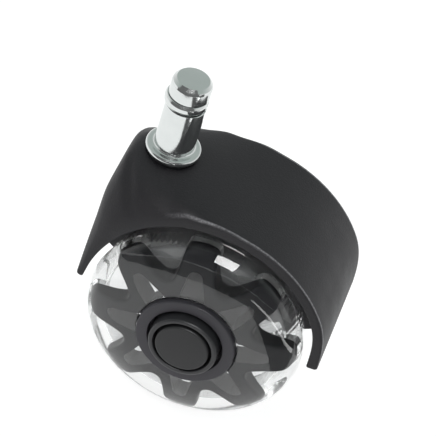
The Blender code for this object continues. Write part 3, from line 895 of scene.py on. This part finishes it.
def make_camera():
    data = bpy.data.cameras.new("camera")
    data.lens = CAMERA_LENS
    data.sensor_width = 36.0
    data.clip_start = 0.01
    data.clip_end = 20.0
    camera = bpy.data.objects.new("camera", data)
    bpy.context.scene.collection.objects.link(camera)
    target = Vector(CAMERA_TARGET) * MM
    place = target + direction(*CAMERA_SIDE) * (CAMERA_DISTANCE * MM)
    look_at(camera, place, target, math.radians(CAMERA_ROLL))
    bpy.context.scene.camera = camera


def make_light(name, azimuth, elevation, distance, size, power):
    """A soft area light, in metres and watts; neither the camera nor a reflection shows it."""
    data = bpy.data.lights.new(name, "AREA")
    data.shape = "RECTANGLE"
    data.size, data.size_y = size
    data.energy = power
    light = bpy.data.objects.new(name, data)
    bpy.context.scene.collection.objects.link(light)
    target = Vector((AXLE_X, 0.0, AXLE_Z + 20.0)) * MM
    look_at(light, target + direction(azimuth, elevation) * distance, target)
    light.visible_camera = False
    light.visible_glossy = False
    return light


def make_world():
    """A studio with pale walls, a greyer ceiling and a dark side behind the viewer."""
    world = bpy.data.worlds.new("studio")
    world.use_nodes = True
    tree = world.node_tree
    place = tree.nodes.new("ShaderNodeTexCoord")
    split = tree.nodes.new("ShaderNodeSeparateXYZ")
    tree.links.new(place.outputs["Generated"], split.inputs["Vector"])
    ceiling = tree.nodes.new("ShaderNodeValToRGB")
    ceiling.color_ramp.elements[0].position = 0.0
    ceiling.color_ramp.elements[0].color = (0.95, 0.95, 0.95, 1.0)
    ceiling.color_ramp.elements[1].position = 0.62
    ceiling.color_ramp.elements[1].color = (0.47, 0.52, 0.50, 1.0)
    tree.links.new(split.outputs["Z"], ceiling.inputs["Fac"])
    front = tree.nodes.new("ShaderNodeMapRange")
    front.interpolation_type = "SMOOTHSTEP"
    front.inputs["From Min"].default_value = -0.75
    front.inputs["From Max"].default_value = -0.25
    tree.links.new(split.outputs["Y"], front.inputs["Value"])
    mix = tree.nodes.new("ShaderNodeMix")
    mix.data_type = "RGBA"
    tree.links.new(front.outputs["Result"], mix.inputs["Factor"])
    mix.inputs[6].default_value = (0.07, 0.07, 0.08, 1.0)
    tree.links.new(ceiling.outputs["Color"], mix.inputs[7])
    tree.links.new(mix.outputs[2], tree.nodes["Background"].inputs["Color"])
    bpy.context.scene.world = world


def reflector(name, corners, tone, strength):
    """A studio panel that shows only in reflections: a white window or a dark flag."""
    shape = bmesh.new()
    shape.faces.new([shape.verts.new(corner) for corner in corners])
    panel = mesh_object(name, shape)
    shade = Shade(name, Emission_Color=(1.0, 1.0, 1.0, 1.0), Emission_Strength=strength,
                  Specular_IOR_Level=0.0)
    shade.colour(shade.blend(shade.noise(80.0), (tone * 0.9,) * 3, (tone,) * 3))
    panel.data.materials.append(shade.material)
    for kind in ("camera", "diffuse", "transmission", "volume_scatter", "shadow"):
        setattr(panel, "visible_" + kind, False)


def floor_panel(name, low, high, lift, tone, strength):
    """A reflector that lies just above the floor between two (x, y) corners."""
    z = cad_low.z / MM + lift
    corners = [(low[0], low[1], z), (high[0], low[1], z), (high[0], high[1], z), (low[0], high[1], z)]
    reflector(name, corners, tone, strength)


def make_reflectors():
    """Dark flags and a strip light on the floor ahead, a high window, and a flag before the stem."""
    floor_panel("dark_flag_right", (60.0, -1500.0), (1500.0, -35.0), 0.3, 0.02, 0.08)
    floor_panel("dark_flag_front", (-500.0, -1500.0), (60.0, -157.0), 0.3, 0.02, 0.15)
    floor_panel("strip_light", (104.0, -290.0), (118.0, -40.0), 0.6, 0.5, 4.0)
    reflector("window_light", [(-4.0, -500.0, 182.0), (115.0, -500.0, 167.0), (382.0, -500.0, 962.0),
                               (-4.0, -500.0, 764.0)], 0.5, 14.0)
    flag = [(x, STEM_FLAG_Y, z) for x, z in ((-40.0, 3.0), (40.0, 3.0), (40.0, 75.0), (-40.0, 75.0))]
    reflector("stem_flag", flag, 0.02, 0.15)


def make_floor():
    """A wide square floor under the wheels."""
    shape = bmesh.new()
    bmesh.ops.create_grid(shape, x_segments=24, y_segments=24, size=4000.0)
    bmesh.ops.translate(shape, verts=shape.verts, vec=(0.0, 0.0, cad_low.z / MM - 0.02))
    floor = mesh_object("floor", shape)
    floor.data.materials.append(floor_white())


# ---------------------------------------------------------------- assembly

def place_piece(thing, body, node, material):
    """Ride a piece on its body, in place of a CAD node, with one material."""
    thing.data.materials.clear()
    thing.data.materials.append(material)
    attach(thing, body)
    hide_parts(node)


def dress_node(node, material):
    """Give a CAD node that stays visible its material."""
    mesh = frame["nodes"][node].data
    mesh.materials.clear()
    mesh.materials.append(material)


def main():
    bpy.context.scene.view_settings.view_transform = "Standard"
    make_camera()
    make_world()
    make_floor()
    make_reflectors()
    make_light("key", -50.0, 48.0, 1.1, (0.80, 0.70), 2.4)
    make_light("rear_fill", 120.0, 38.0, 1.1, (0.80, 0.70), 1.1)

    place_piece(make_hood(), "fork", "hood", hood_plastic())
    place_piece(make_stem(), "stem", "stem_pin", chrome("stem_chrome", 0.08, 0.15, 12.0))
    place_piece(make_grip_ring(), "stem", "grip_ring", chrome("ring_chrome", 0.07, 0.14, 8.0))

    wheel_pieces = (
        (make_tyre(), "tyre", "clear_tyre", clear_tyre()),
        (make_core(), "wheel_core", "core_plastic", core_plastic()),
        (make_insert(), "hub_insert", "insert_plastic", hub_plastic("insert_plastic", 0.028, 0.036, 0.38)),
        (make_cap(), "centre_cap", "cap_plastic", hub_plastic("cap_plastic", 0.014, 0.020, 0.46)),
    )
    for prefix, side in (("left", -1), ("right", 1)):
        for pattern, node, slot, material in wheel_pieces:
            mesh = pattern.data.copy()
            piece = bpy.data.objects.new(f"{prefix}_{pattern.name}", mesh)
            bpy.context.scene.collection.objects.link(piece)
            piece.matrix_world = on_axle(side)
            place_piece(piece, f"{prefix}_wheel", f"{prefix}_{node}", material)
    for pattern, *_ in wheel_pieces:
        bpy.data.objects.remove(pattern, do_unlink=True)

    spring = steel("spring_steel", 0.50, 0.30)
    ground = steel("axle_steel", 0.58, 0.22)
    waxy = nylon()
    for node in ("stem_circlip", "stem_bush", "left_axle_clip", "right_axle_clip"):
        dress_node(node, spring)
    dress_node("axle_pin", ground)
    for node in ("thrust_washer", "left_hub_bush", "right_hub_bush", "left_spacer_washer",
                 "right_spacer_washer"):
        dress_node(node, waxy)


main()
